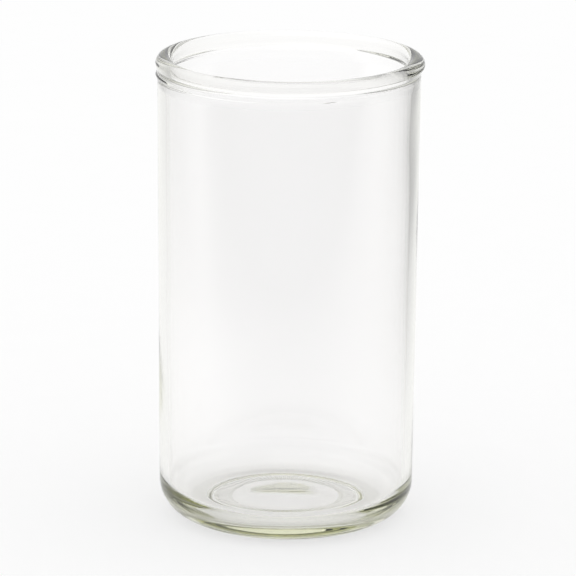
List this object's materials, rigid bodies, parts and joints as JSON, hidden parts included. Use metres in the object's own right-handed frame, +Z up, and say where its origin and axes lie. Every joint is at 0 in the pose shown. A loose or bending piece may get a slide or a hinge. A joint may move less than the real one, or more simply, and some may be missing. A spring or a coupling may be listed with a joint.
{
  "type": "glass cylinder vase",
  "caption": "Clear glass cylinder vase, very slightly wider at the top, with a rounded rim bead, a broad rounded heel and a thick floor, for holding cut flowers in water.",
  "frame": {"origin": "centre of the standing plane, where the vase's axis meets the table", "axes": "+Z up along the vase's axis; the vase is round, so +X and +Y are any two level directions at a right angle"},
  "size_m": [0.102, 0.102, 0.179],
  "materials": {
    "clear_glass": "clear, fire-polished"
  },
  "bodies": {
    "root": {"vase_glass": "clear_glass"}
  },
  "joints": []
}
